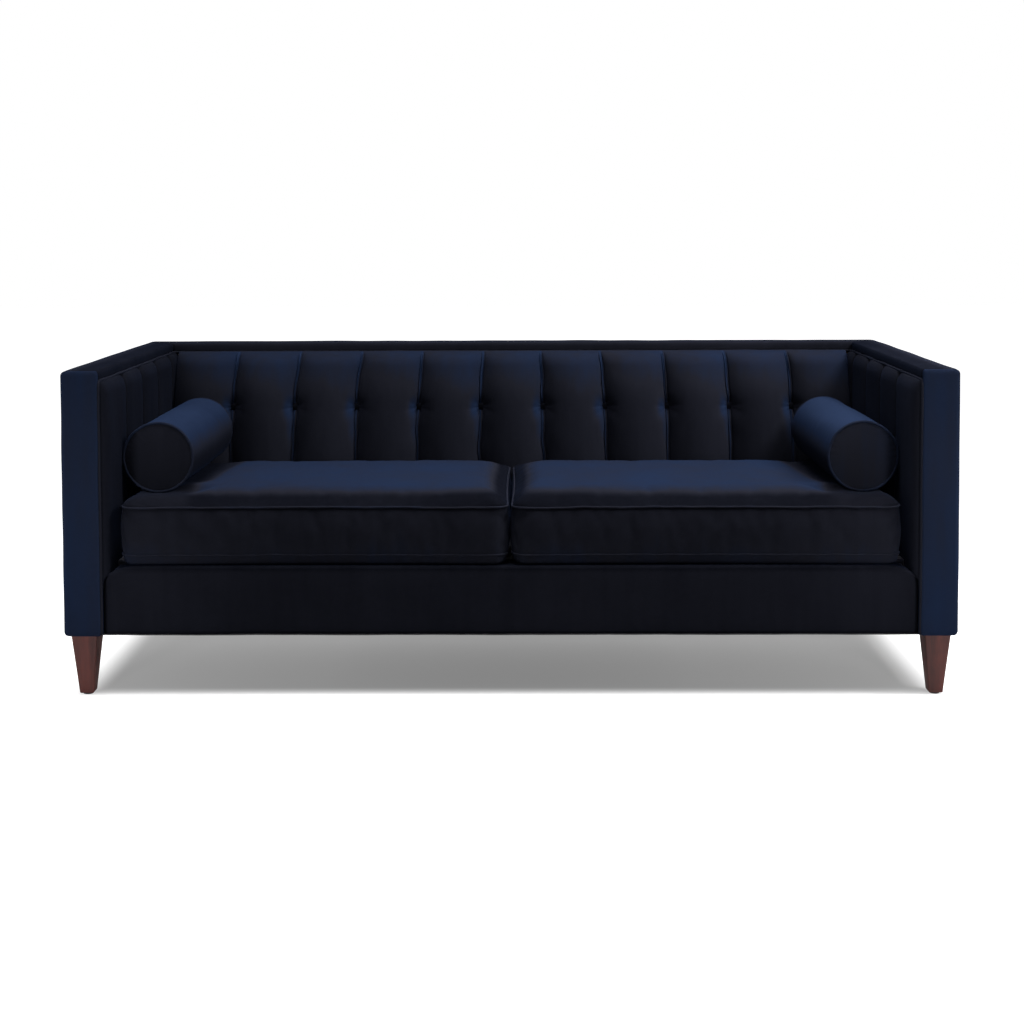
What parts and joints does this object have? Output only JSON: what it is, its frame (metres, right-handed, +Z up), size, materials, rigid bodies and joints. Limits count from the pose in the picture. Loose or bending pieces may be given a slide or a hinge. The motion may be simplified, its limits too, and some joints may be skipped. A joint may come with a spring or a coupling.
{
  "type": "tuxedo sofa",
  "caption": "Navy velvet tuxedo sofa with tufted channel back and arms, loose box seat cushions, bolsters and tapered wooden legs.",
  "frame": {"origin": "on the floor under the middle of the sofa's width and depth", "axes": "+X to the right as seen from the front, the front faces -Y, +Z up"},
  "size_m": [2.134, 0.864, 0.787],
  "materials": {
    "navy_velvet": "matte",
    "deck_cloth": "matte",
    "stained_leg_wood": "satin",
    "frame_timber": "matte",
    "plated_steel": "satin",
    "glide_plastic": "matte",
    "grey_felt": "matte",
    "jute_webbing": "matte",
    "liner_board": "matte",
    "black_cambric": "matte",
    "zip_tape": "matte",
    "seat_foam": "matte"
  },
  "bodies": {
    "frame": {"front_rail": "frame_timber", "seat_rear_rail": "frame_timber", "back_bottom_rail": "frame_timber", "side_rail_left": "frame_timber", "side_rail_right": "frame_timber", "seat_stretchers": "frame_timber", "corner_blocks": "frame_timber", "arm_post_left": "frame_timber", "arm_post_right": "frame_timber", "rear_post_left": "frame_timber", "rear_post_right": "frame_timber", "arm_top_board_left": "frame_timber", "arm_top_board_right": "frame_timber", "arm_tack_rails": "frame_timber", "back_top_board": "frame_timber", "back_tack_rail": "frame_timber", "back_uprights": "frame_timber", "seat_springs_left": "plated_steel", "seat_springs_right": "plated_steel", "spring_clips": "plated_steel", "spring_felt": "grey_felt", "back_webbing": "jute_webbing", "arm_liners": "liner_board", "seat_deck": "deck_cloth", "front_border": "navy_velvet", "arm_pad_left": "navy_velvet", "arm_pad_right": "navy_velvet", "arm_front_left": "navy_velvet", "arm_front_right": "navy_velvet", "arm_outside_left": "navy_velvet", "arm_outside_right": "navy_velvet", "arm_top_pad_left": "navy_velvet", "arm_top_pad_right": "navy_velvet", "back_top_pad": "navy_velvet", "back_pad": "navy_velvet", "back_buttons": "navy_velvet", "outside_back": "navy_velvet", "dust_cover": "black_cambric", "leg_front_left": "stained_leg_wood", "leg_front_right": "stained_leg_wood", "leg_rear_left": "stained_leg_wood", "leg_rear_right": "stained_leg_wood", "leg_plates": "plated_steel", "plate_screws": "plated_steel", "hanger_bolts": "plated_steel", "leg_glides": "glide_plastic"},
    "seat_cushion_left": {"seat_cushion_left": "navy_velvet", "seat_foam_left": "seat_foam", "seat_zip_left": "zip_tape"},
    "seat_cushion_right": {"seat_cushion_right": "navy_velvet", "seat_foam_right": "seat_foam", "seat_zip_right": "zip_tape"},
    "bolster_left": {"bolster_left": "navy_velvet", "bolster_core_left": "seat_foam"},
    "bolster_right": {"bolster_right": "navy_velvet", "bolster_core_right": "seat_foam"}
  },
  "joints": [
    {"name": "seat_cushion_left_lift", "type": "slide", "parent": "frame", "child": "seat_cushion_left", "axis": [0, 0, 1], "range_m": [0, 0.5]},
    {"name": "bolster_left_lift", "type": "slide", "parent": "seat_cushion_left", "child": "bolster_left", "axis": [0, 0, 1], "range_m": [0, 0.35]},
    {"name": "seat_cushion_right_lift", "type": "slide", "parent": "frame", "child": "seat_cushion_right", "axis": [0, 0, 1], "range_m": [0, 0.5]},
    {"name": "bolster_right_lift", "type": "slide", "parent": "seat_cushion_right", "child": "bolster_right", "axis": [0, 0, 1], "range_m": [0, 0.35]}
  ]
}
